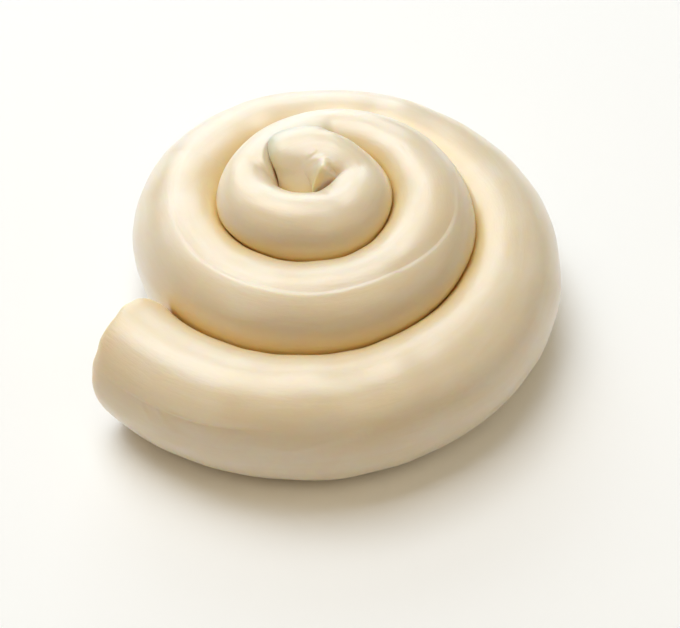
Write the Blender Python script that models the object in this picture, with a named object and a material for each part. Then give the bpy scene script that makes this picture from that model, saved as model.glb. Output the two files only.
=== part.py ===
"""Asadero cheese ball: one cheese rope, cut at its outer end, wound inwards and upwards
into a flat-domed coil whose free inner end curls over the middle.

Metres, +Z up. The coil stands on Z = 0 with the middle of its bounding box on the Z axis.
Seen from above the rope winds anticlockwise from the cut end at the front left; -Y is the front.
"""
import math

import bpy
import numpy as np

MM = 0.001

# Driving dimensions, in millimetres and degrees.
# One row for each sixth of a turn, and closer where the inner end curls over: the angle about the
# coil's axis, how far the rope's centre line is from that axis, the rope's own radius, and how far
# its top half is lifted off the floor.
STATIONS = (
    (220, 61.0, 15.0, 0.0),
    (270, 62.5, 15.5, 0.0),
    (330, 57.5, 15.5, 0.0),
    (390, 48.0, 15.5, 0.0),
    (450, 39.5, 16.0, 0.0),
    (510, 35.0, 16.0, 0.0),
    (570, 33.0, 14.5, 5.5),
    (630, 36.0, 14.0, 9.5),
    (690, 35.0, 13.0, 13.5),
    (750, 28.5, 11.5, 18.0),
    (810, 22.0, 9.5, 20.5),
    (870, 17.0, 8.0, 23.0),
    (930, 15.5, 9.5, 22.5),
    (975, 14.5, 10.5, 21.5),
    (1025, 15.0, 10.5, 21.5),
    (1060, 15.5, 8.5, 25.5),
    (1085, 14.5, 7.5, 26.5),
    (1110, 12.0, 7.5, 27.5),
    (1150, 9.5, 8.5, 27.5),
    (1190, 8.5, 9.0, 26.0),
)
PRESS = 0.92            # height of a resting rope's centre as a share of its radius
ARCH = 0.08             # rise of the underside for each millimetre of lift

CUT_ANGLE = 224.0       # where the rope is cut, at its centre line
CUT_LEAN = 7.5          # how much farther the cut reaches on its upper side than on its lower side
CUT_LEAN_TOWARDS = 120.0    # the angle round the rope where it reaches farthest
CUT_LEAN_FADE = 26.0    # angle about the axis over which the lean dies out
CUT_BULGE = 2.2         # how far the cut face stands out, rim to middle
TIP_LENGTH = 0.9        # length of the rounded inner end as a share of the rope's radius

FOLD_DEPTH = 0.45       # depth of the creases where the rope was folded over on itself
FOLD_WIDTH = 6.0        # half width of a crease, as an angle round the rope
FOLD_LIP = 0.7          # height of the lip below a crease as a share of the crease's depth
FOLD_LIP_PLACE = 1.8    # how far the lip's middle lies below the crease, in crease widths
FOLD_FADE = 14.0        # angle about the axis over which a fold starts and ends
# Each fold: where it starts and ends about the axis, then its angle round the rope at each.
FOLDS = (
    (224, 300, 30.0, 42.0),
    (552, 735, 79.0, 55.0),
)

CORE_RADIUS = 14.0      # the middle that closes the coil under its curled end
CORE_TOP = 24.0
CORE_BOTTOM = 6.0
CORE_SIDES = 48

RINGS = 150             # cross-sections along the rope
CAP_RINGS = 6           # extra ones that round each end
FACE_EASE = 0.6         # power that brings the cut face's rings closer towards its rim
FACE_FLATNESS = 4       # power that keeps its bulge flat in the middle
CAP_TURN = 84.0         # how far the inner end's rounding turns before its small flat
STEP_TOP = 7.5          # spacing of a section's points where it shows, as an angle round the rope
STEP_UNDER = 18.0       # and where it doesn't
SIDE_LOW = -30.0        # the part that shows runs from this angle over the top to the other side

CHEESE = (0.86, 0.72, 0.48)
ROUGHNESS = 0.38
SHARP_ANGLE = 50.0


def spline(knots, values, at):
    """Natural cubic spline: no bending at either end, smooth through every station."""
    gap = np.diff(knots)
    slope = np.diff(values) / gap
    matrix = np.eye(len(knots))
    right = np.zeros(len(knots))
    for k in range(1, len(knots) - 1):
        matrix[k, k - 1:k + 2] = gap[k - 1], 2 * (gap[k - 1] + gap[k]), gap[k]
        right[k] = 6 * (slope[k] - slope[k - 1])
    bend = np.linalg.solve(matrix, right)
    k = np.clip(np.searchsorted(knots, at, side="right") - 1, 0, len(gap) - 1)
    past = at - knots[k]
    left = knots[k + 1] - at
    ends = (bend[k] * left ** 3 + bend[k + 1] * past ** 3) / (6 * gap[k])
    first = (values[k] / gap[k] - bend[k] * gap[k] / 6) * left
    second = (values[k + 1] / gap[k] - bend[k + 1] * gap[k] / 6) * past
    return ends + first + second


def rope_sizes(angle):
    """Distance from the axis, rope radius and lift at each angle about the axis."""
    knots, reach, radius, lift = np.array(STATIONS, float).T
    rise = np.maximum(spline(knots, lift, angle), 0.0)
    return spline(knots, reach, angle), spline(knots, radius, angle), rise


def smooth_step(low, high, value):
    """0 below low, 1 above high, and an S curve between."""
    share = np.clip((value - low) / (high - low), 0.0, 1.0)
    return share * share * (3.0 - 2.0 * share)


def section_angles():
    """Angles round the rope, close together where it shows and wide apart underneath."""
    top = np.arange(SIDE_LOW, 180.0 - SIDE_LOW + 0.01, STEP_TOP)
    under = np.arange(180.0 - SIDE_LOW + STEP_UNDER, 360.0 + SIDE_LOW - 0.5 * STEP_UNDER, STEP_UNDER)
    return np.radians(np.concatenate([top, under]))


def fold_relief(angle, around):
    """Depth of the folds: a rounded groove whose lower lip stands a little proud."""
    depth = np.zeros_like(around)
    for start, stop, first, last in FOLDS:
        middle = first + (last - first) * smooth_step(start, stop, angle)
        begun = smooth_step(start, start + FOLD_FADE, angle)
        ended = smooth_step(stop - FOLD_FADE, stop, angle)
        off = (np.degrees(around) - middle) / FOLD_WIDTH
        groove = -np.exp(-off ** 2)
        lip = FOLD_LIP * np.exp(-0.5 * (off + FOLD_LIP_PLACE) ** 2)
        depth += FOLD_DEPTH * begun * (1.0 - ended) * (groove + lip)
    return depth


def rope_points():
    """Rings of points along the rope, cut end first: rings x points x 3, in millimetres.

    A section is a half circle on top of a straight-sided column whose rounded foot is pressed
    flat on the floor, so that the turns close on each other all the way down.
    """
    last = STATIONS[-1][0]
    angle = np.linspace(CUT_ANGLE, last, RINGS)
    reach, radius, lift = rope_sizes(angle)
    turn = np.radians(angle)
    centre = np.stack([reach * np.cos(turn), reach * np.sin(turn), PRESS * radius + lift], axis=1)
    along = np.gradient(centre, angle, axis=0)
    along /= np.linalg.norm(along, axis=1)[:, None]

    # The rounded inner end carries on straight from the last station.
    swing = np.radians(np.linspace(0.0, CAP_TURN, CAP_RINGS + 1)[1:])
    beyond = TIP_LENGTH * radius[-1] * np.sin(swing)
    centre = np.concatenate([centre, centre[-1] + beyond[:, None] * along[-1]])
    along = np.concatenate([along, np.repeat(along[-1:], CAP_RINGS, axis=0)])
    radius = np.concatenate([radius, radius[-1] * np.cos(swing)])
    lift = np.concatenate([lift, np.full(CAP_RINGS, lift[-1])])
    angle = np.concatenate([angle, np.full(CAP_RINGS, last)])

    outward = np.cross(along, [0.0, 0.0, 1.0])
    outward /= np.linalg.norm(outward, axis=1)[:, None]
    upward = np.cross(outward, along)

    around = section_angles()[None, :] + np.zeros((len(angle), 1))
    thick = radius[:, None] + fold_relief(angle[:, None], around)
    side = thick * np.cos(around)
    rise = thick * np.sin(around)
    points = (centre[:, None, :] + side[..., None] * outward[:, None, :]
              + np.maximum(rise, 0.0)[..., None] * upward[:, None, :])
    foot = PRESS * radius + ARCH * lift
    under = rise < 0.0
    points[..., 2] = np.where(under, np.maximum(foot[:, None] + rise, 0.0), points[..., 2])

    upper = np.cos(around - math.radians(CUT_LEAN_TOWARDS))
    near_cut = 1.0 - smooth_step(CUT_ANGLE, CUT_ANGLE + CUT_LEAN_FADE, angle)
    back = 0.5 * CUT_LEAN * upper * near_cut[:, None]
    return points - back[..., None] * along[:, None, :]


def cut_face(rim, second):
    """Rings that close the cut end, innermost first, and the middle point of its bulging face."""
    middle = rim.mean(axis=0)
    outwards = (rim - second).mean(axis=0)
    outwards /= np.linalg.norm(outwards)
    rings = []
    for share in np.linspace(0.0, 1.0, CAP_RINGS + 1)[1:-1]:
        width = share ** FACE_EASE
        bulge = CUT_BULGE * math.sqrt(1.0 - width ** FACE_FLATNESS)
        rings.append(middle + width * (rim - middle) + bulge * outwards)
    return np.array(rings), middle + CUT_BULGE * outwards


def rope_mesh():
    """The rope as one closed grid, with a fan on its cut face and a flat on its tip."""
    rings = rope_points()
    face_rings, face_middle = cut_face(rings[0], rings[1])
    rings = np.concatenate([face_rings, rings])
    count, sides = rings.shape[:2]
    corners = np.concatenate([rings.reshape(-1, 3), face_middle[None, :]]) * MM

    faces = []
    for ring in range(count - 1):
        for point in range(sides):
            after = (point + 1) % sides
            here = ring * sides
            there = here + sides
            faces.append((here + point, here + after, there + after, there + point))
    pole = count * sides
    for point in range(sides):
        faces.append((pole, (point + 1) % sides, point))
    faces.append(tuple((count - 1) * sides + point for point in range(sides)))

    mesh = bpy.data.meshes.new("cheese_coil")
    mesh.from_pydata(corners.tolist(), [], faces)
    mesh.validate()
    return mesh


def cheese_material():
    """Pale cream cheese with a soft, slightly oily skin."""
    material = bpy.data.materials.new("cheese")
    material.use_nodes = True
    skin = material.node_tree.nodes["Principled BSDF"]
    skin.inputs["Base Color"].default_value = (*CHEESE, 1.0)
    skin.inputs["Roughness"].default_value = ROUGHNESS
    skin.inputs["Metallic"].default_value = 0.0
    return material


def add_collection(name):
    """A new collection of the scene."""
    collection = bpy.data.collections.new(name)
    bpy.context.scene.collection.children.link(collection)
    return collection


def add_core(collection):
    """The short column that fills the coil's middle, joined to the rope by its Boolean union."""
    bpy.ops.mesh.primitive_cylinder_add(vertices=CORE_SIDES, radius=CORE_RADIUS * MM,
                                        depth=(CORE_TOP - CORE_BOTTOM) * MM,
                                        location=(0.0, 0.0, 0.5 * (CORE_TOP + CORE_BOTTOM) * MM))
    core = bpy.context.object
    core.name = "core"
    core.hide_render = True
    core.display_type = "WIRE"
    for other in core.users_collection:
        other.objects.unlink(core)
    collection.objects.link(core)
    return core


def add_coil(collection, core):
    """The coiled rope, fused turn to turn and to the core."""
    coil = bpy.data.objects.new("cheese_coil", rope_mesh())
    collection.objects.link(coil)
    coil.data.materials.append(cheese_material())
    coil.data.shade_smooth()
    coil.data.set_sharp_from_angle(angle=math.radians(SHARP_ANGLE))
    fuse = coil.modifiers.new("fuse", "BOOLEAN")
    fuse.operation = "UNION"
    fuse.solver = "EXACT"
    fuse.use_self = True
    fuse.object = core
    return coil


def main():
    """Empty the scene and build the coil, centred on the Z axis."""
    for old in list(bpy.data.objects):
        bpy.data.objects.remove(old, do_unlink=True)
    cheese = add_collection("asadero_cheese_ball")
    cutters = add_collection("cutters")
    core = add_core(cutters)
    coil = add_coil(cheese, core)
    corners = np.array([corner.co for corner in coil.data.vertices])
    middle = 0.5 * (corners.min(axis=0) + corners.max(axis=0))
    for piece in (core, coil):
        piece.location.x -= middle[0]
        piece.location.y -= middle[1]


if __name__ == "__main__":
    main()
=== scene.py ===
"""Asadero cheese ball: the looks of a fresh cheese rope wound inwards and upwards into a
flat-domed coil, standing on a plain pale table under soft light.

Lengths are in metres, and in millimetres where a comment says so. -Y is the front. Seen from
above, the rope winds anticlockwise from its cut end at the front left.
"""

import math

import bpy
import numpy as np
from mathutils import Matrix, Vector


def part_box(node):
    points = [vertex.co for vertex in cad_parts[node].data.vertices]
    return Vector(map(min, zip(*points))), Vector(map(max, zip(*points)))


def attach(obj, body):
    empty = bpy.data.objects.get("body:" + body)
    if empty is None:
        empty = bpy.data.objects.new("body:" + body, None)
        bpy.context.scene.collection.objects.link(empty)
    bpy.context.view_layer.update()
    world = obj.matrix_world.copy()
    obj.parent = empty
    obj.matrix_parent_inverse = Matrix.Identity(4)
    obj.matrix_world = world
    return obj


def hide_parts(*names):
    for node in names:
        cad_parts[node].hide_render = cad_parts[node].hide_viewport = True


bl_info = {
    "name": "Asadero Cheese Ball",
    "version": (1, 0, 0),
    "blender": (4, 5, 0),
    "location": "View3D > Sidebar > Cheese",
    "description": "Adds a coiled rope of fresh stretched-curd cheese on a pale table",
    "category": "Add Mesh",
}

MM = 0.001
NODE = "cheese_coil"
BODY = "root"

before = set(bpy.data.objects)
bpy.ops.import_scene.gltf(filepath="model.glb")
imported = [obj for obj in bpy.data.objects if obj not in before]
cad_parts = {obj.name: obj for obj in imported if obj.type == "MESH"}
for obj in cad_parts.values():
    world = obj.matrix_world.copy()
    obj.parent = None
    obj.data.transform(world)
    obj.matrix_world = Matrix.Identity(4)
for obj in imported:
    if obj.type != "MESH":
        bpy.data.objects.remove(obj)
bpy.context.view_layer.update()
CAD_LOW, CAD_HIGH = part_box(NODE)

# The rope's route, in millimetres and degrees: the angle about the coil's axis, how far the
# centre line is from that axis, the rope's own radius, and how far its top half is lifted.
STATIONS = (
    (220, 61.0, 15.0, 0.0),
    (270, 62.5, 15.5, 0.0),
    (330, 57.5, 15.5, 0.0),
    (390, 48.0, 15.5, 0.0),
    (450, 39.5, 16.0, 0.0),
    (510, 35.0, 16.0, 0.0),
    (570, 33.0, 14.5, 5.5),
    (630, 36.0, 14.0, 9.5),
    (690, 35.0, 13.0, 13.5),
    (750, 28.5, 11.5, 18.0),
    (810, 22.0, 9.5, 20.5),
    (870, 17.0, 8.0, 23.0),
    (930, 15.5, 9.5, 22.5),
    (975, 14.5, 10.5, 21.5),
    (1025, 15.0, 10.5, 21.5),
    (1060, 15.5, 8.5, 25.5),
    (1085, 14.5, 7.5, 26.5),
    (1110, 12.0, 7.5, 27.5),
    (1150, 9.5, 8.5, 27.5),
    (1190, 8.5, 9.0, 26.0),
)
PRESS = 0.92                # height of a resting rope's centre as a share of its radius
ARCH = 0.08                 # rise of the underside for each millimetre of lift
CUT_ANGLE = 224.0           # where the rope is cut
CUT_LEAN = 7.5              # how much farther the cut reaches on its upper side, mm
CUT_LEAN_TOWARDS = 120.0    # the angle round the rope where it reaches farthest
CUT_LEAN_FADE = 26.0        # degrees about the axis over which that lean dies out
CUT_BULGE = 1.0             # how far the cut face stands out in its middle, mm
CUT_ROUND = 1.3             # how far the skin turns in at the cut, mm
CUT_ROUND_LENGTH = 3.6      # over this length of rope, mm
TORN_SPREAD = 6.0           # length over which the cut's dull, deeper look dies out on the skin, mm
CUT_FACE_RELIEF = 0.22      # height of the torn curd's bumps on the cut face, mm
CONTACT_GAP = 0.10          # gap left between turns that touch, mm
CONTACT_ROUND = 0.07        # rounding of the shoulders beside a contact, as a share of the radius
NO_CONTACT = 9.0            # what a contact's share is where nothing is met
LEAST_KEPT = 0.02           # least share of a section's radius that a contact leaves
OTHER_TURN = 140.0          # degrees along the rope from which it counts as another turn
MEETING = 1.35              # how near two sections have to be, in sums of their radii
PAINTED_SHADE_SPREAD = 0.18        # how far the painted shade beside a contact spreads, as a share too
PAINTED_SHADE_CLEARED = 0.6        # how much of that painted shade goes where two skins run into each other
FLOOR_SHADE_HEIGHT = 2.2            # height above the floor over which the painted shade along the foot, standing in for the contact shadow, dies out, mm
FLOOR_SHADE_MOST = 0.8       # and how strong it is on the floor itself
FLOOR_ROUND = 0.8           # rounding where the rope meets the floor, mm
TIP_LENGTH = 0.9            # length of the rounded inner end as a share of the rope's radius
TIP_SWING = 88.0            # how far its quarter turn goes before its small flat
TIP_ANGLE_STEP = 0.01       # how much the angle about the axis still grows for each mm of it
TINY = 1e-6                 # keeps a divisor away from nothing

# How finely the rope is drawn.
RINGS = 800                 # from the cut to the start of the rounded inner end
TIP_RINGS = 26              # over the rounded inner end
FACE_RINGS = 18             # over the cut face
FACE_EASE = 0.6             # power that brings the cut face's rings closer towards its rim
FACE_FIRST = 0.002          # width of its innermost ring as a share of the rim's
ROUTE_STEPS = 6000          # steps in which the rope's length is measured
CONTACT_STEP = 3            # one ring in so many stands for the turn that others meet
TOP_POINTS = 76             # points on a section's top half circle
SIDE_POINTS = 9             # on each side wall and the start of the foot below it
FOOT_POINTS = 10            # on the rest of the foot
FOOT_START = 40.0           # degrees of the foot that a side's points take
TIP_CLOSER = 0.9            # how much closer the rings come over the curled end
TIP_CLOSER_OVER = (880.0, 960.0)    # the angles about the axis over which that sets in
CURL_CLOSER = 2.4           # and over the folds of the curl
CURL_CLOSER_OVER = (1080.0, 1120.0)
CUT_CLOSER = 0.6            # and at the cut end
CUT_CLOSER_OVER = (240.0, 275.0)    # the angles over which that dies out
RIM_CLOSER = 4.0            # and at the very rim of the cut
RIM_CLOSER_OVER = (225.0, 230.0)
MARK_CLOSER = 3.5           # how much closer a section's points come beside the long marks
MARK_SPREAD = 5.0           # degrees either side of a mark over which they do
MARK_CLOSER_FADE = 30.0     # degrees about the axis over which that dies out past the last mark
HALVINGS = 24               # how often the search for a point's place halves its range

# Where the long marks lie: angle about the axis, and the angle round the rope there.
MARK_LINE = ((224, 30), (236, 34), (250, 35), (264, 41), (300, 50), (500, 78), (582, 75), (622, 75),
             (664, 72), (690, 62), (716, 57), (740, 42))

# Marks pressed and drawn into the skin: half widths in mm on the left and on the right of the mark,
# height in mm (below 0 is a groove), height of the lip on its right, and the points that it runs
# through, each an angle about the axis and an angle round the rope.
MARKS = (
    # The long seam where the skin is folded over.
    (2.0, 0.55, -0.20, 0.02, ((552, 81), (582, 75), (604, 77), (622, 75), (652, 74), (670, 71),
                              (690, 62), (704, 60))),
    (2.2, 0.70, -0.13, 0.04, ((662, 73), (690, 62), (704, 60), (718, 57), (736, 38))),
    # Creases and stretched threads of skin near the cut.
    (1.40, 0.22, 0.20, 0.0, ((226, 29), (230, 33), (240, 34), (250, 35), (257, 38), (264, 41))),
    (1.10, 0.25, 0.20, 0.0, ((262.5, 21), (269.5, 21), (276.5, 30), (284, 37))),
    (0.40, 0.40, 0.34, 0.0, ((238, 34), (239.5, 24), (241.5, 14))),
    (0.40, 0.40, 0.30, 0.0, ((240.5, 35), (243, 28), (245.5, 17))),
    (0.35, 0.35, 0.08, 0.0, ((223, 80), (232, 78), (241, 79), (247, 77))),
    (0.30, 0.30, -0.08, 0.0, ((224, 77), (234, 75), (243, 76))),
    (0.30, 0.30, 0.07, 0.0, ((226, 74), (236, 72), (246, 74))),
    # Small tucks on the second turn.
    (0.45, 0.35, -0.16, 0.12, ((747, 97), (742, 100), (737, 103))),
    (0.40, 0.40, 0.10, 0.0, ((734, 121), (732, 118), (731, 114))),
    # Fold and crinkles where the rope bends sharply into its curled end.
    (1.8, 7.0, 2.6, 0.0, ((1156, 226), (1149, 208), (1143, 190), (1137, 172), (1133, 158), (1129, 147),
                          (1120, 136))),
    (0.7, 0.6, 0.30, 0.0, ((1171, 130), (1158, 121), (1147, 111))),
    (0.7, 0.6, 0.36, 0.0, ((1169, 137), (1155, 134), (1142, 129), (1129, 120))),
    (0.7, 0.6, 0.34, 0.0, ((1152, 143), (1140, 139), (1125, 133))),
)
MARK_STEPS = 14             # points along a mark for each one that it runs through
MARK_FADE = 7.0             # length over which a mark fades out at each end, mm
MARK_FADE_MOST = 0.45       # but no more than this share of its length
MARK_MARGIN = 5.0           # how far beyond its ends a mark is felt, degrees for each mm of width
MARK_MARGIN_WIDTH = 2.0     # mm added to its width for that
MARK_MARGIN_FULL = 0.3      # share of that margin over which it is felt in full
LIP_PLACE = 2.0             # how far to the right of a mark its lip lies, in right half widths
LIP_WIDTH = 1.3             # and how wide the lip's own half is

# The cut's uneven rim: angle round the rope, and how much farther it reaches there, mm.
CUT_EDGE = ((0, 0.2), (20, -0.1), (40, -0.2), (60, -0.1), (75, 0.2), (90, 1.2), (108, 2.2), (128, 2.4),
            (150, 1.4), (180, 0.3), (230, -0.2), (290, 0.1))
CUT_WAVES = ((0.16, 6, 0.8), (0.13, 11, 2.1), (0.09, 17, 4.4))   # height mm, waves round, phase

# Low unevenness of the whole skin: height and length in mm, waves round, phase, and a second
# length and phase that make the first come and go.
SKIN_WAVES = (
    (0.16, 47.0, 1, 0.3, 71.0, 1.2),
    (0.13, 31.0, -2, 2.0, 53.0, 0.4),
    (0.10, 19.0, 3, 4.1, 67.0, 2.6),
    (0.07, 13.0, -1, 5.2, 41.0, 3.3),
)

# The curled end is squeezed flat and sags forwards, setting in over angles about the axis.
CURL_FLAT_OVER = (1095.0, 1150.0)
CURL_FLAT = 1.6             # how much it is squeezed, mm
CURL_FLAT_LONG = 22.0       # the angle round the rope of its long way
CURL_SAG = 1.2              # how much it sags, mm
CURL_SLACK = 3.0            # how much smaller it counts where its neighbours meet it, mm
CURL_UNDER = 5.2            # how much its underside fills out towards the turn in front of it, mm
CURL_UNDER_PLACE = 210.0    # the angle round the rope where it does so most
CURL_UNDER_SPREAD = 40.0    # degrees round the rope on either side over which it dies out

# The squeezed curd wells up inside the curl's tightest bend and sinks in front of the curled end:
# how much, mm, X and Y of the middle, its half width, and the angles about the axis over which it
# sets in. Both set in over the same heights, in mm too.
CURL_SWELLS = (
    (3.4, 5.9, -1.1, 4.3, (1000.0, 1040.0)),
    (-2.2, -2.9, -2.0, 6.0, (1078.0, 1106.0)),
)
SWELLS_ABOVE = (28.0, 35.0)

# Where two turns' skins run into each other: how widely, mm, the two stretches of rope, and the
# directions about the axis where it begins, is full, is last full and ends.
WELDS = (
    (8.0, (760, 920), (1110, 1200), (58, 82, 152, 180)),
    (4.0, (340, 420), (700, 780), (-9, 3, 20, 38)),
)


STREAK_SCALE = 0.22         # scale of the skin's streaks along the rope, below 1 to draw them out
TORN_DULLER = 0.2           # how much rougher the torn curd is
TORN_HIGHER = 3.5           # how many times higher its grain stands
MIX_INPUTS = (0, 6, 7)      # where a Mix node of colours takes its share and its two colours
MIX_OUTPUT = 2              # and where it gives the result

TABLE_HALF = 4.0            # half the table's side, m
LIGHT_DISTANCE = 3.0        # of each light from its aim, m
LIGHT_SIDE = 2.0            # side of each square light, m
LIGHT_AIM = (0.0, 0.0, 0.02)

# Soft lights: name, direction about Z and height above the table in degrees, how much of full
# white a white surface facing it shows, and colour.
LIGHTS = (
    ("main_light", 116.0, 66.0, 0.63, (0.93, 0.97, 1.0)),
    ("back_light", 128.0, 42.0, 0.21, (0.88, 0.95, 1.0)),
    ("low_back_light", 100.0, 20.0, 0.35, (0.80, 0.90, 1.0)),
    ("side_fill", 350.0, 34.0, 0.08, (1.0, 0.90, 0.75)),
    ("front_fill", 312.0, 64.0, 0.21, (1.0, 0.84, 0.54)),
    ("left_fill", 205.0, 45.0, 0.14, (1.0, 0.78, 0.52)),
)


# ---------------------------------------------------------------------------------------------
# Shape


def spline(knots, values, at):
    """Natural cubic spline: no bending at either end, smooth through every station."""
    gap = np.diff(knots)
    slope = np.diff(values) / gap
    matrix = np.eye(len(knots))
    right = np.zeros(len(knots))
    for k in range(1, len(knots) - 1):
        matrix[k, k - 1:k + 2] = gap[k - 1], 2 * (gap[k - 1] + gap[k]), gap[k]
        right[k] = 6 * (slope[k] - slope[k - 1])
    bend = np.linalg.solve(matrix, right)
    k = np.clip(np.searchsorted(knots, at, side="right") - 1, 0, len(gap) - 1)
    past = at - knots[k]
    left = knots[k + 1] - at
    ends = (bend[k] * left ** 3 + bend[k + 1] * past ** 3) / (6 * gap[k])
    first = (values[k] / gap[k] - bend[k] * gap[k] / 6) * left
    second = (values[k + 1] / gap[k] - bend[k + 1] * gap[k] / 6) * past
    return ends + first + second


def smooth_step(low, high, value):
    """0 below low, 1 above high, and an S curve between."""
    share = np.clip((value - low) / (high - low), 0.0, 1.0)
    return share * share * (3.0 - 2.0 * share)


def smooth_least(first, second, width):
    """The smaller of two values, rounded off where they come within width of each other."""
    near = np.clip(1.0 - np.abs(first - second) / width, 0.0, 1.0)
    return np.minimum(first, second) - 0.25 * width * near * near


def rope_line(angle):
    """The rope's centre line, radius and lift at each angle about the axis, in mm.

    The centre is reach out from the axis, and PRESS times the radius plus the lift up.
    """
    knots, reach, radius, lift = np.array(STATIONS, float).T
    turn = np.radians(angle)
    out = spline(knots, reach, angle)
    thick = spline(knots, radius, angle)
    rise = np.maximum(spline(knots, lift, angle), 0.0)
    centre = np.stack([out * np.cos(turn), out * np.sin(turn), PRESS * thick + rise], axis=-1)
    return centre, thick, rise


def unit(vectors):
    """The same vectors, each one long."""
    return vectors / np.linalg.norm(vectors, axis=-1, keepdims=True)


class Rope:
    """The rope as whole arrays, one row for each cross-section from the cut end to the tip."""

    def __init__(self):
        self.angle = self.ring_angles()
        self.centre, self.radius, self.lift = rope_line(self.angle)
        self.along = unit(np.gradient(self.centre, self.angle, axis=0))
        step = np.linalg.norm(np.diff(self.centre, axis=0), axis=1)
        self.passed = np.concatenate([[0.0], np.cumsum(step)])
        self.add_tip()
        self.foot = PRESS * self.radius + ARCH * self.lift
        self.foot = np.minimum(self.foot, self.centre[:, 2])
        self.outward = unit(np.cross(self.along, [0.0, 0.0, 1.0]))
        self.upward = np.cross(self.outward, self.along)

    @staticmethod
    def ring_angles():
        """Angles of the sections: evenly spread along the rope, closer at its two ends."""
        fine = np.linspace(CUT_ANGLE, STATIONS[-1][0], ROUTE_STEPS)
        centre = rope_line(fine)[0]
        step = np.linalg.norm(np.diff(centre, axis=0), axis=1)
        middle = 0.5 * (fine[1:] + fine[:-1])
        closer = (1.0 + TIP_CLOSER * smooth_step(*TIP_CLOSER_OVER, middle)
                  + CURL_CLOSER * smooth_step(*CURL_CLOSER_OVER, middle)
                  + CUT_CLOSER * (1.0 - smooth_step(*CUT_CLOSER_OVER, middle))
                  + RIM_CLOSER * (1.0 - smooth_step(*RIM_CLOSER_OVER, middle)))
        passed = np.concatenate([[0.0], np.cumsum(step * closer)])
        return np.interp(np.linspace(0.0, passed[-1], RINGS), passed, fine)

    def add_tip(self):
        """Carries the rope straight on into its rounded inner end, half an ellipse in profile."""
        swing = np.radians(np.linspace(0.0, TIP_SWING, TIP_RINGS + 1)[1:])
        beyond = TIP_LENGTH * self.radius[-1] * np.sin(swing)
        self.centre = np.concatenate([self.centre, self.centre[-1] + beyond[:, None] * self.along[-1]])
        self.along = np.concatenate([self.along, np.repeat(self.along[-1:], TIP_RINGS, axis=0)])
        self.lift = np.concatenate([self.lift, np.full(TIP_RINGS, self.lift[-1])])
        self.passed = np.concatenate([self.passed, self.passed[-1] + beyond])
        self.angle = np.concatenate([self.angle, self.angle[-1] + TIP_ANGLE_STEP * beyond])
        self.radius = np.concatenate([self.radius, self.radius[-1] * np.cos(swing)])


def top_angles(rope):
    """Angles round the rope of the top half's points, crowded beside the long marks.

    Point k of n sits where angle + crowd * spread * tanh((angle - mark) / spread) has gone k / n
    of its way, which is found by halving its range, for all rings at once.
    """
    share = np.linspace(0.0, 1.0, TOP_POINTS)[None, :]
    where, place = np.array(MARK_LINE, float).T
    mark = np.interp(rope.angle, where, place)[:, None]
    crowd = MARK_CLOSER * (1.0 - smooth_step(where[-1], where[-1] + MARK_CLOSER_FADE, rope.angle))[:, None]

    def gone(value):
        return value + crowd * MARK_SPREAD * np.tanh((value - mark) / MARK_SPREAD)

    first = gone(0.0)
    target = first + share * (gone(180.0) - first)
    low = np.zeros_like(target)
    high = np.full_like(target, 180.0)
    for _ in range(HALVINGS):
        middle = 0.5 * (low + high)
        below = gone(middle) < target
        low = np.where(below, middle, low)
        high = np.where(below, high, middle)
    return np.radians(0.5 * (low + high))


def section_grid(rope):
    """For each ring and point, the angle round the rope and the drop down a side wall.

    A section is a half circle on a straight-sided column with a rounded foot. Going round it from
    the outer side, the top half comes first, then the inner wall, the foot and the outer wall.
    """
    count = len(rope.angle)
    top = top_angles(rope)
    wall = (rope.centre[:, 2] - rope.foot)[:, None]
    thick = rope.radius[:, None]
    length = wall + np.radians(FOOT_START) * thick
    gone = length * np.linspace(0.0, 1.0, SIDE_POINTS + 1)[None, 1:]
    side_drop = np.minimum(gone, wall)
    side_turn = np.maximum(gone - wall, 0.0) / thick
    foot = np.radians(np.linspace(FOOT_START, 180.0 - FOOT_START, FOOT_POINTS + 2)[1:-1])
    foot = np.repeat(foot[None, :], count, axis=0)
    foot_drop = np.repeat(wall, FOOT_POINTS, axis=1)
    around = np.concatenate([top, math.pi + side_turn, math.pi + foot,
                             2.0 * math.pi - side_turn[:, ::-1]], axis=1)
    drop = np.concatenate([np.zeros_like(top), side_drop, foot_drop, side_drop[:, ::-1]], axis=1)
    return around, drop


def skin_point(angle, around):
    """Points on the plain rope, and normals, at angles in degrees about the axis and round the rope."""
    centre, radius, _ = rope_line(angle)
    ahead = rope_line(angle + 0.5)[0]
    along = unit(ahead - centre)
    outward = unit(np.cross(along, [0.0, 0.0, 1.0]))
    upward = np.cross(outward, along)
    turn = np.radians(around)[:, None]
    normal = np.cos(turn) * outward + np.sin(turn) * upward
    return centre + radius[:, None] * normal, normal


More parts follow.
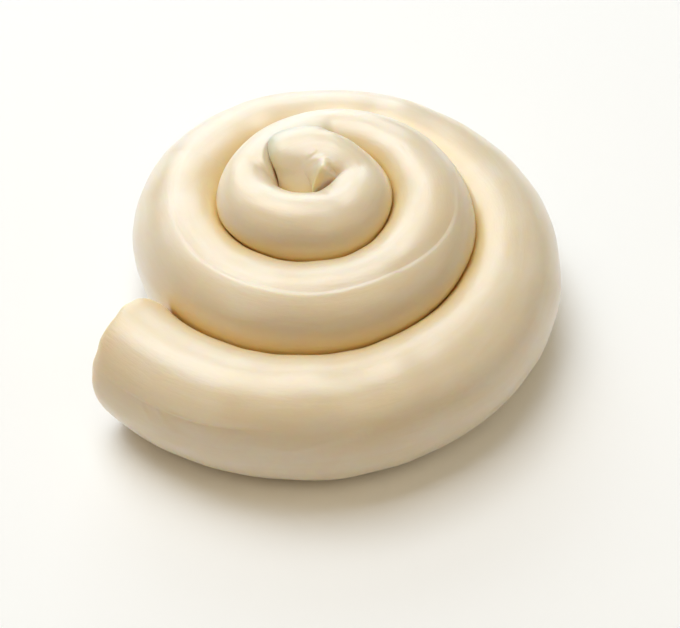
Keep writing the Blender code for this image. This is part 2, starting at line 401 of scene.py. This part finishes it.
def mark_relief(rope, plain):
    """Height of the marks over the plain skin, in mm.

    Each mark is a smooth curve through its points. Its height falls off with the distance from
    the curve as a bell, with its own width on either side, and its lip is a bell beside it on the
    right. Both fade out at the curve's ends, and at a margin about the axis beyond them.
    """
    height = np.zeros(plain.shape[:2])
    for left, right, rise, lip, route in MARKS:
        about, place = np.array(route, float).T
        knots = np.arange(len(route), dtype=float)
        fine = np.linspace(0.0, knots[-1], MARK_STEPS * len(route))
        line, normal = skin_point(spline(knots, about, fine), spline(knots, place, fine))
        course = unit(np.gradient(line, axis=0))
        leftward = unit(np.cross(normal, course))
        run = np.concatenate([[0.0], np.cumsum(np.linalg.norm(np.diff(line, axis=0), axis=1))])
        reach = min(MARK_FADE, MARK_FADE_MOST * run[-1])
        fade = smooth_step(0.0, reach, run) * smooth_step(0.0, reach, run[-1] - run)
        margin = MARK_MARGIN * (MARK_MARGIN_WIDTH + max(left, right))
        outside = np.maximum(about.min() - rope.angle, rope.angle - about.max())
        window = 1.0 - smooth_step(MARK_MARGIN_FULL * margin, margin, outside)
        rows = np.nonzero(window > 0.0)[0]
        near = plain[rows]
        best = np.full(near.shape[:2], np.inf)
        pick = np.zeros(near.shape[:2], int)
        for k in range(len(line)):
            far = ((near - line[k]) ** 2).sum(axis=2)
            closer = far < best
            best = np.where(closer, far, best)
            pick = np.where(closer, k, pick)
        offset = near - line[pick]
        ahead = (offset * course[pick]).sum(axis=2)
        away = np.sqrt(np.maximum(best - ahead ** 2, 0.0))
        on_left = (offset * leftward[pick]).sum(axis=2) > 0.0
        bell = rise * np.exp(-(away / np.where(on_left, left, right)) ** 2)
        beside = np.where(on_left, np.inf, (away / right - LIP_PLACE) / LIP_WIDTH)
        height[rows] += window[rows, None] * fade[pick] * (bell + lip * np.exp(-beside ** 2))
    return height


def skin_waves(rope, around):
    """Low unevenness of the skin in mm: waves along and round the rope that come and go."""
    height = np.zeros(around.shape)
    passed = rope.passed[:, None]
    for rise, length, waves, phase, second, other in SKIN_WAVES:
        swell = 0.5 + 0.5 * np.sin(2.0 * math.pi * passed / second + other)
        height += rise * swell * np.sin(2.0 * math.pi * passed / length + waves * around + phase)
    return height


def curl_flattening(rope, around):
    """How far the squeezed curled end stands out, in mm.

    Squeezing is a cosine with two waves round the rope, and sagging takes off one with a single
    wave. The underside fills out as a bell round the rope, until it meets the turn in front.
    """
    share = smooth_step(*CURL_FLAT_OVER, rope.angle) * rope.radius / rope.radius[RINGS - 1]
    place = around - math.radians(CURL_FLAT_LONG)
    under = (np.degrees(around) - CURL_UNDER_PLACE) / CURL_UNDER_SPREAD
    return share[:, None] * (CURL_FLAT * np.cos(2.0 * place) - CURL_SAG * np.cos(place)
                             + CURL_UNDER * np.exp(-under ** 2))


def curl_swells(rope, points):
    """How far the curd wells up or sinks inside the curl, in mm: bells about upright lines."""
    lift = np.zeros(points.shape[:2])
    for height, x, y, width, (begins, full) in CURL_SWELLS:
        far = np.hypot(points[..., 0] - x, points[..., 1] - y)
        lift += smooth_step(begins, full, rope.angle)[:, None] * height * np.exp(-(far / width) ** 2)
    return lift * smooth_step(*SWELLS_ABOVE, points[..., 2])


def cut_shoulder(rope):
    """How far each section is drawn in beside the cut, in mm: a quarter of an ellipse in profile."""
    gone = np.clip(1.0 - rope.passed / CUT_ROUND_LENGTH, 0.0, 1.0)
    return CUT_ROUND * (1.0 - np.sqrt(1.0 - gone ** 2))


def cut_reach(around):
    """How much farther the cut reaches at each angle round the rope, in mm."""
    place, reach = np.array(CUT_EDGE, float).T
    turn = 2.0 * math.pi
    knots = np.radians(np.concatenate([place - 360.0, place, place + 360.0]))
    reach = spline(knots, np.tile(reach, 3), np.mod(around, turn))
    for rise, waves, phase in CUT_WAVES:
        reach = reach + rise * np.sin(waves * around + phase)
    return reach


def contact_share(rope, anchor, arm):
    """How much of each arm is free before it meets another turn of the rope.

    A turn meets its neighbour where a point is as deep in the one as in the other, so with
    spheres along both ropes the limit is (d^2 + r^2 - n^2 - gap) / (2 arm.(N - anchor)), where d is
    the distance to the neighbour's centre N and r and n are the two radii. The squeezed curled
    end counts as thinner than it is.
    """
    own = (arm ** 2).sum(axis=2)
    share = np.full(arm.shape[:2], NO_CONTACT)
    reach = anchor + arm
    for k in range(0, RINGS, CONTACT_STEP):
        rows = np.nonzero(np.abs(rope.angle - rope.angle[k]) > OTHER_TURN)[0]
        low, high = rope.foot[k], rope.centre[k, 2]
        flat = ((rope.centre[rows, :2] - rope.centre[k, :2]) ** 2).sum(axis=1)
        rows = rows[flat < (MEETING * (rope.radius[rows] + rope.radius[k])) ** 2]
        if not len(rows):
            continue
        here = anchor[rows]
        level = np.clip(reach[rows, :, 2], low, high)
        other = np.concatenate([np.broadcast_to(rope.centre[k, :2], here.shape[:2] + (2,)),
                                level[..., None]], axis=2)
        gap = other - here
        facing = (arm[rows] * gap).sum(axis=2)
        size = rope.radius[k] - CURL_SLACK * smooth_step(*CURL_FLAT_OVER, rope.angle[k])
        margin = CONTACT_GAP * (rope.radius[rows, None] + size)
        free = (gap ** 2).sum(axis=2) + own[rows] - size ** 2 - margin
        limit = np.where(facing > TINY, free / np.maximum(2.0 * facing, TINY), NO_CONTACT)
        share[rows] = np.minimum(share[rows], limit)
    return share


def gap_to(rope, here, others):
    """How far points are from a stretch of plain rope, and which way its skin faces there."""
    gap = np.full(here.shape[:2], np.inf)
    slope = np.zeros_like(here)
    for k in others[others < RINGS]:
        offset = here - rope.centre[k]
        far = np.linalg.norm(offset, axis=2)
        closer = far - rope.radius[k] < gap
        gap = np.where(closer, far - rope.radius[k], gap)
        slope = np.where(closer[..., None], offset / far[..., None], slope)
    return gap, slope


def weld(rope, points, facing):
    """Runs the skins of touching turns into each other, and says how much at each point.

    Where two skins come within a width w of each other, each is lifted by w / 4 (1 - gap / w)^2
    along the middle of their two normals, which makes one smooth saddle of their crease.
    """
    made = points.copy()
    welded = np.zeros(points.shape[:2])
    turn = np.degrees(np.arctan2(points[..., 1], points[..., 0]))
    for reach, first, second, (begins, full, still, ends) in WELDS:
        share = smooth_step(begins, full, turn) * (1.0 - smooth_step(still, ends, turn))
        one, two = (np.nonzero((rope.angle > low) & (rope.angle < high))[0]
                    for low, high in (first, second))
        for rows, others in ((one, two), (two, one)):
            gap, slope = gap_to(rope, points[rows], others)
            width = np.maximum(reach * share[rows], TINY)
            near = np.clip(1.0 - np.maximum(gap, 0.0) / width, 0.0, 1.0)
            lift = 0.25 * width * near ** 2
            made[rows] += lift[..., None] * unit(facing[rows] + slope)
            welded[rows] = np.maximum(welded[rows], share[rows] * near)
    return made, welded


def rope_surface():
    """Rings of points over the whole rope, how much painted shade each gets beside another turn and near
    the floor, how near it is to the cut, and its place on the unrolled rope.

    Each point is its section's middle plus an arm out to the skin, of which only the share is kept
    that is free of other turns. The floor then flattens the foot, the cut's lean and rim move the
    first rings along the rope, and touching skins are run into each other.
    """
    rope = Rope()
    around, drop = section_grid(rope)
    cos, sin = np.cos(around)[..., None], np.sin(around)[..., None]
    up = np.where((around <= math.pi)[..., None], rope.upward[:, None, :], [0.0, 0.0, 1.0])
    facing = cos * rope.outward[:, None, :] + sin * up
    down = drop[..., None] * np.array([0.0, 0.0, 1.0])
    plain = rope.centre[:, None, :] - down + rope.radius[:, None, None] * facing
    thick = rope.radius[:, None] + mark_relief(rope, plain) - cut_shoulder(rope)[:, None]
    thick = thick + curl_flattening(rope, around)
    thick = thick + skin_waves(rope, around) * (rope.radius / rope.radius[RINGS // 2])[:, None]
    # The rounded tip is measured from the middle of the last full section.
    last = np.minimum(np.arange(len(rope.angle)), RINGS - 1)
    anchor = rope.centre[last][:, None, :] - down
    arm = rope.centre[:, None, :] - down + thick[..., None] * facing - anchor
    share = contact_share(rope, anchor, arm)
    kept = np.clip(smooth_least(1.0, share, CONTACT_ROUND), LEAST_KEPT, 1.0)
    points = anchor + kept[..., None] * arm
    points[..., 2] += curl_swells(rope, points)
    points[..., 2] = -smooth_least(-points[..., 2], 0.0, FLOOR_ROUND)

    upper = np.cos(around - math.radians(CUT_LEAN_TOWARDS))
    near_cut = 1.0 - smooth_step(CUT_ANGLE, CUT_ANGLE + CUT_LEAN_FADE, rope.angle)
    back = (0.5 * CUT_LEAN * upper + cut_reach(around)) * near_cut[:, None]
    points = points - back[..., None] * rope.along[:, None, :]
    points, welded = weld(rope, points, facing)
    # Painted shade: beside other turns the colour is darkened and warmed towards amber, in place of the
    # shade and glow in the creases.
    painted_shade = np.exp(-np.maximum(share - 1.0, 0.0) / PAINTED_SHADE_SPREAD) * (1.0 - PAINTED_SHADE_CLEARED * welded)
    # Painted shade along the foot: darker and warmer near the floor, as a contact shadow would make it.
    floor = np.exp(-np.maximum(points[..., 2], 0.0) / FLOOR_SHADE_HEIGHT)
    painted_shade = np.maximum(painted_shade, FLOOR_SHADE_MOST * floor)
    unrolled = np.stack([np.broadcast_to(rope.passed[:, None], around.shape),
                         thick * cos[..., 0], thick * sin[..., 0] - drop], axis=2)
    torn = np.broadcast_to(np.exp(-rope.passed / TORN_SPREAD)[:, None], around.shape)
    return points, painted_shade, torn, unrolled


def face_widths():
    """Widths of the cut face's rings as shares of the rim's, from a tiny ring at its middle."""
    width = np.linspace(0.0, 1.0, FACE_RINGS + 1)[:-1][:, None, None] ** FACE_EASE
    width[0] = FACE_FIRST
    return width


def cut_face(rim, second):
    """Rings that close the cut end, innermost first, on a low bulge with the bumps of torn curd.

    A ring stands out by bulge * (1 - width ** 2), and by the relief of two crossing sets of waves
    that die out at the rim.
    """
    middle = rim.mean(axis=0)
    outwards = unit((rim - second).mean(axis=0))
    width = face_widths()
    flat = middle + width * (rim - middle)
    across = flat[..., :1] - flat[..., 1:2]
    level = flat[..., 2:]
    bumps = np.sin(1.1 * across + 0.7) * np.sin(0.9 * level + 0.4) + 0.6 * np.sin(1.9 * level - 0.8 * across)
    fade = 1.0 - width ** 2
    return flat + fade * (CUT_BULGE + CUT_FACE_RELIEF * bumps) * outwards


def ring_faces(count, sides):
    """Quads between neighbouring rings, and one polygon over each end, all facing outwards."""
    ring = np.arange(count - 1)[:, None]
    point = np.arange(sides)[None, :]
    after = (point + 1) % sides
    here = ring * sides
    quads = np.stack([here + point, here + sides + point, here + sides + after, here + after], axis=2)
    first = tuple(range(sides))
    last = tuple((count - 1) * sides + k for k in range(sides - 1, -1, -1))
    return [tuple(quad) for quad in quads.reshape(-1, 4).tolist()] + [first, last]


def new_piece(name, points, faces, material):
    """A smooth mesh object at the origin, with its material, that rides on the coil's body."""
    mesh = bpy.data.meshes.new(name)
    mesh.from_pydata((points.reshape(-1, 3) * MM).tolist(), [], faces)
    mesh.materials.append(material)
    mesh.shade_smooth()
    piece = bpy.data.objects.new(name, mesh)
    bpy.context.scene.collection.objects.link(piece)
    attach(piece, BODY)
    return piece


def add_values(piece, name, kind, values):
    """Stores one value for each point of the mesh, for its material to read."""
    layer = piece.data.attributes.new(name, kind, "POINT")
    field = "value" if kind == "FLOAT" else "vector"
    layer.data.foreach_set(field, np.ascontiguousarray(values, np.float32).ravel())


# ---------------------------------------------------------------------------------------------
# Materials


def node(tree, kind, **inputs):
    """A new node with some of its inputs set, by name with _ for a space."""
    made = tree.nodes.new(kind)
    for name, value in inputs.items():
        made.inputs[name.replace("_", " ")].default_value = value
    return made


def stored(tree, name):
    """A node that reads the values stored on the mesh under a name."""
    made = tree.nodes.new("ShaderNodeAttribute")
    made.attribute_name = name
    return made


def worked_out(tree, operation, *values):
    """The result of a Math node on sockets and plain numbers."""
    made = tree.nodes.new("ShaderNodeMath")
    made.operation = operation
    for socket, value in zip(made.inputs, values):
        if isinstance(value, float):
            socket.default_value = value
        else:
            tree.links.new(value, socket)
    return made.outputs[0]


def mixed(tree, share, first, second):
    """The result of a Mix node on two colours' sockets, by the share in a third socket."""
    made = tree.nodes.new("ShaderNodeMix")
    made.data_type = "RGBA"
    for place, socket in zip(MIX_INPUTS, (share, first, second)):
        tree.links.new(socket, made.inputs[place])
    return made.outputs[MIX_OUTPUT]


def curd_group():
    """Mottle of stretched curd over the unrolled rope: colour with painted shade in the creases, roughness
    and fine height.
    """
    group = bpy.data.node_groups.new("stretched_curd", "ShaderNodeTree")
    face = group.interface
    for name, kind, default in (("Pale", "NodeSocketColor", (0.9, 0.8, 0.6, 1.0)),
                                ("Deep", "NodeSocketColor", (0.8, 0.6, 0.3, 1.0)),
                                ("Painted Shade Colour", "NodeSocketColor", (0.7, 0.4, 0.15, 1.0)),
                                ("Torn Curd", "NodeSocketColor", (0.9, 0.8, 0.6, 1.0)),
                                ("Painted Shade Amount", "NodeSocketFloat", 0.0),
                                ("Torn", "NodeSocketFloat", 0.0),
                                ("Roughness", "NodeSocketFloat", 0.4)):
        face.new_socket(name, in_out="INPUT", socket_type=kind).default_value = default
    for name, kind in (("Color", "NodeSocketColor"), ("Roughness", "NodeSocketFloat"),
                       ("Height", "NodeSocketFloat")):
        face.new_socket(name, in_out="OUTPUT", socket_type=kind)
    link = group.links.new
    given = group.nodes.new("NodeGroupInput").outputs
    result = group.nodes.new("NodeGroupOutput").inputs

    # Streaks drawn out along the rope, and broad clouds, share the colour between pale and deep.
    place = stored(group, "unrolled").outputs["Vector"]
    stretch = node(group, "ShaderNodeMapping", Scale=(STREAK_SCALE, 1.0, 1.0))
    link(place, stretch.inputs["Vector"])
    streak = node(group, "ShaderNodeTexNoise", Scale=0.35, Detail=4.0, Roughness=0.5, Distortion=0.6)
    link(stretch.outputs["Vector"], streak.inputs["Vector"])
    cloud = node(group, "ShaderNodeTexNoise", Scale=0.05, Detail=3.0, Roughness=0.5)
    link(place, cloud.inputs["Vector"])
    share = node(group, "ShaderNodeMapRange", From_Min=0.75, From_Max=1.25, To_Min=0.0, To_Max=1.0)
    link(worked_out(group, "ADD", streak.outputs["Fac"], cloud.outputs["Fac"]), share.inputs["Value"])
    tone = mixed(group, share.outputs[0], given["Pale"], given["Deep"])
    # Painted shade: beside contacts and near the floor the tone turns towards the painted shade colour.
    shaded_tone = mixed(group, given["Painted Shade Amount"], tone, given["Painted Shade Colour"])
    link(mixed(group, given["Torn"], shaded_tone, given["Torn Curd"]), result["Color"])

    # The clouds vary the gloss a little, and torn curd is duller.
    gloss = node(group, "ShaderNodeMapRange", From_Min=0.3, From_Max=0.7, To_Min=-0.05, To_Max=0.05)
    link(cloud.outputs["Fac"], gloss.inputs["Value"])
    rough = worked_out(group, "ADD", gloss.outputs[0], given["Roughness"])
    link(worked_out(group, "MULTIPLY_ADD", given["Torn"], TORN_DULLER, rough), result["Roughness"])

    # The streaks and a fine grain give the height, and the grain stands higher on torn curd.
    grain = node(group, "ShaderNodeTexNoise", Scale=1.6, Detail=4.0, Roughness=0.55)
    link(stretch.outputs["Vector"], grain.inputs["Vector"])
    rise = node(group, "ShaderNodeMapRange", To_Min=1.0, To_Max=TORN_HIGHER)
    link(given["Torn"], rise.inputs["Value"])
    crumb = worked_out(group, "MULTIPLY", grain.outputs["Fac"], rise.outputs[0])
    link(worked_out(group, "ADD", streak.outputs["Fac"], crumb), result["Height"])
    return group


def cheese_skin(finish):
    """Fresh cheese: pale translucent curd under a thin oily sheen, with painted shade in its creases and
    along the floor.
    """
    material = bpy.data.materials.new("cheese_skin")
    material.use_nodes = True
    tree = material.node_tree
    skin = tree.nodes["Principled BSDF"]
    skin.subsurface_method = "RANDOM_WALK"
    skin.inputs["Subsurface Weight"].default_value = 1.0
    skin.inputs["Subsurface Radius"].default_value = finish.scatter
    skin.inputs["Subsurface Scale"].default_value = finish.scatter_depth
    skin.inputs["Subsurface Anisotropy"].default_value = 0.3
    skin.inputs["IOR"].default_value = 1.45
    skin.inputs["Coat Weight"].default_value = finish.sheen
    skin.inputs["Coat Roughness"].default_value = 0.3
    curd = tree.nodes.new("ShaderNodeGroup")
    curd.node_tree = curd_group()
    curd.inputs["Pale"].default_value = (*finish.pale, 1.0)
    curd.inputs["Deep"].default_value = (*finish.deep, 1.0)
    curd.inputs["Painted Shade Colour"].default_value = (*finish.painted_shade, 1.0)
    curd.inputs["Torn Curd"].default_value = (*finish.torn, 1.0)
    curd.inputs["Roughness"].default_value = finish.roughness
    bump = node(tree, "ShaderNodeBump", Strength=0.22, Distance=0.0003)
    link = tree.links.new
    # The amount of painted shade, stored on the mesh.
    link(stored(tree, "painted_shade_amount").outputs["Fac"], curd.inputs["Painted Shade Amount"])
    link(stored(tree, "torn").outputs["Fac"], curd.inputs["Torn"])
    link(curd.outputs["Color"], skin.inputs["Base Color"])
    link(curd.outputs["Roughness"], skin.inputs["Roughness"])
    link(curd.outputs["Height"], bump.inputs["Height"])
    link(bump.outputs["Normal"], skin.inputs["Normal"])
    return material


def table_top(stage):
    """Plain, even, very pale table top."""
    material = bpy.data.materials.new("table_top")
    material.use_nodes = True
    top = material.node_tree.nodes["Principled BSDF"]
    top.inputs["Base Color"].default_value = (*stage.floor, 1.0)
    top.inputs["Roughness"].default_value = 0.7
    top.inputs["Specular IOR Level"].default_value = 0.2
    return material


# ---------------------------------------------------------------------------------------------
# Settings


class CheeseFinish(bpy.types.PropertyGroup):
    """Colours and gloss of the cheese."""

    pale: bpy.props.FloatVectorProperty(
        name="Pale", description="Colour of the curd where it is palest", subtype="COLOR", size=3,
        min=0.0, max=1.0, default=(0.83, 0.73, 0.57))
    deep: bpy.props.FloatVectorProperty(
        name="Deep", description="Colour of the curd where it is deepest", subtype="COLOR", size=3,
        min=0.0, max=1.0, default=(0.81, 0.685, 0.485))
    # Painted shade: the colour that creases and the foot turn towards, in place of their shade.
    painted_shade: bpy.props.FloatVectorProperty(
        name="Painted Shade Colour", description="Colour where two turns meet", subtype="COLOR", size=3,
        min=0.0, max=1.0, default=(0.84, 0.62, 0.28))
    torn: bpy.props.FloatVectorProperty(
        name="Torn curd", description="Colour of the open curd at the cut", subtype="COLOR", size=3,
        min=0.0, max=1.0, default=(0.74, 0.60, 0.39))
    scatter: bpy.props.FloatVectorProperty(
        name="Scatter", description="How far red, green and blue light travel, as shares of the depth",
        size=3, min=0.0, max=1.0, default=(0.88, 0.6, 0.3))
    scatter_depth: bpy.props.FloatProperty(
        name="Scatter depth", description="Depth that light travels in the curd",
        subtype="DISTANCE", unit="LENGTH", min=0.0, default=0.007)
    roughness: bpy.props.FloatProperty(
        name="Roughness", description="Roughness of the skin", subtype="FACTOR",
        min=0.0, max=1.0, default=0.34)
    sheen: bpy.props.FloatProperty(
        name="Oily sheen", description="Weight of the thin oily film", subtype="FACTOR",
        min=0.0, max=1.0, default=0.9)


class StageSettings(bpy.types.PropertyGroup):
    """Table, light and camera."""

    floor: bpy.props.FloatVectorProperty(
        name="Table", description="Colour of the table top", subtype="COLOR", size=3,
        min=0.0, max=1.0, default=(0.98, 0.98, 0.98))
    light: bpy.props.FloatProperty(
        name="Lights", description="Strength of all the lights together", subtype="FACTOR",
        min=0.0, soft_max=2.0, default=1.0)
    room: bpy.props.FloatProperty(
        name="Room light", description="Strength of the light from all round", min=0.0, default=0.04)
    lens: bpy.props.FloatProperty(
        name="Lens", description="Focal length of the camera, in millimetres", min=1.0, default=71.4)
    view_height: bpy.props.FloatProperty(
        name="Camera's height", description="Camera's angle above the table",
        subtype="ANGLE", unit="ROTATION", default=math.radians(48.24))
    view_distance: bpy.props.FloatProperty(
        name="Camera's distance", description="From the camera to its aim",
        subtype="DISTANCE", unit="LENGTH", min=0.01, default=0.3776)
    view_aim: bpy.props.FloatVectorProperty(
        name="Camera's aim", description="Point on the table that it looks at",
        subtype="TRANSLATION", unit="LENGTH", size=3, default=(0.0012, -0.0042, 0.0))


# ---------------------------------------------------------------------------------------------
# Operators


class CHEESE_OT_add_rope(bpy.types.Operator):
    """Add the coiled cheese rope, which stands for the coil's solid"""

    bl_idname = "cheese.add_rope"
    bl_label = "Cheese Rope"
    bl_options = {"REGISTER", "UNDO"}

    def execute(self, context):
        points, painted_shade, torn, unrolled = rope_surface()
        face_rings = cut_face(points[0], points[1])
        rings = np.concatenate([face_rings, points])
        low = rings.reshape(-1, 3).min(axis=0)
        high = rings.reshape(-1, 3).max(axis=0)
        shift = 0.5 * np.array(CAD_LOW + CAD_HIGH) / MM - 0.5 * (low + high)
        rings[..., :2] += shift[:2]
        faces = ring_faces(*rings.shape[:2])
        piece = new_piece("cheese_rope", rings, faces, cheese_skin(context.scene.cheese_finish))
        face = (FACE_RINGS, painted_shade.shape[1])
        # Painted shade beside contacts and near the floor; none on the cut face.
        add_values(piece, "painted_shade_amount", "FLOAT", np.concatenate([np.zeros(face), painted_shade]))
        add_values(piece, "torn", "FLOAT", np.concatenate([np.ones(face), torn]))
        add_values(piece, "unrolled", "FLOAT_VECTOR",
                   np.concatenate([face_widths() * unrolled[:1], unrolled]))
        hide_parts(NODE)
        return {"FINISHED"}


def aim(thing, place, target):
    """Puts a light or the camera at a place, looking at a target."""
    thing.location = place
    thing.rotation_euler = (Vector(target) - Vector(place)).to_track_quat("-Z", "Y").to_euler()


def from_angles(turn, height, distance):
    """The point at a distance, at an angle about Z and an angle above the table."""
    return Vector((math.cos(turn) * math.cos(height), math.sin(turn) * math.cos(height),
                   math.sin(height))) * distance


class CHEESE_OT_add_stage(bpy.types.Operator):
    """Add the pale table, the soft light and the camera"""

    bl_idname = "cheese.add_stage"
    bl_label = "Table, Light and Camera"
    bl_options = {"REGISTER", "UNDO"}

    def execute(self, context):
        scene = context.scene
        stage = scene.cheese_stage
        mesh = bpy.data.meshes.new("table")
        corners = [(TABLE_HALF * x, TABLE_HALF * y, 0.0) for x, y in ((-1, -1), (1, -1), (1, 1), (-1, 1))]
        mesh.from_pydata(corners, [], [(0, 1, 2, 3)])
        mesh.materials.append(table_top(stage))
        table = bpy.data.objects.new("table", mesh)
        scene.collection.objects.link(table)

        world = bpy.data.worlds.new("room")
        world.use_nodes = True
        background = world.node_tree.nodes["Background"]
        background.inputs["Color"].default_value = (1.0, 1.0, 1.0, 1.0)
        seen = world.node_tree.nodes.new("ShaderNodeLightPath")
        strength = node(world.node_tree, "ShaderNodeMapRange", To_Min=stage.room, To_Max=1.0)
        world.node_tree.links.new(seen.outputs["Is Camera Ray"], strength.inputs["Value"])
        world.node_tree.links.new(strength.outputs[0], background.inputs["Strength"])
        scene.world = world

        for name, turn, height, share, colour in LIGHTS:
            light = bpy.data.lights.new(name, "AREA")
            light.energy = stage.light * share * (math.pi * LIGHT_DISTANCE) ** 2
            light.size = LIGHT_SIDE
            light.color = colour
            lamp = bpy.data.objects.new(name, light)
            scene.collection.objects.link(lamp)
            place = from_angles(math.radians(turn), math.radians(height), LIGHT_DISTANCE)
            aim(lamp, place, LIGHT_AIM)

        lens = bpy.data.cameras.new("camera")
        lens.lens = stage.lens
        lens.sensor_width = 36.0
        lens.clip_start = 0.01
        camera = bpy.data.objects.new("camera", lens)
        scene.collection.objects.link(camera)
        target = Vector(stage.view_aim)
        aim(camera, target + from_angles(-0.5 * math.pi, stage.view_height, stage.view_distance), target)
        scene.camera = camera
        scene.view_settings.view_transform = "Standard"
        return {"FINISHED"}


class CHEESE_PT_panel(bpy.types.Panel):
    """Lists the cheese's pieces and settings"""

    bl_idname = "CHEESE_PT_panel"
    bl_label = "Asadero Cheese Ball"
    bl_space_type = "VIEW_3D"
    bl_region_type = "UI"
    bl_category = "Cheese"

    def draw(self, context):
        for settings in (context.scene.cheese_finish, context.scene.cheese_stage):
            box = self.layout.box()
            for name in settings.__annotations__:
                box.prop(settings, name)
        for operator in OPERATORS:
            self.layout.operator(operator.bl_idname)


OPERATORS = (CHEESE_OT_add_rope, CHEESE_OT_add_stage)
CLASSES = (CheeseFinish, StageSettings) + OPERATORS + (CHEESE_PT_panel,)


def register():
    """Makes the settings, operators and panel known to Blender."""
    for made in CLASSES:
        bpy.utils.register_class(made)
    bpy.types.Scene.cheese_finish = bpy.props.PointerProperty(type=CheeseFinish)
    bpy.types.Scene.cheese_stage = bpy.props.PointerProperty(type=StageSettings)


def unregister():
    """Takes them away again."""
    del bpy.types.Scene.cheese_stage
    del bpy.types.Scene.cheese_finish
    for made in reversed(CLASSES):
        bpy.utils.unregister_class(made)


def main():
    """Adds every piece and the stage."""
    register()
    bpy.ops.cheese.add_rope()
    bpy.ops.cheese.add_stage()


if __name__ == "__main__":
    main()
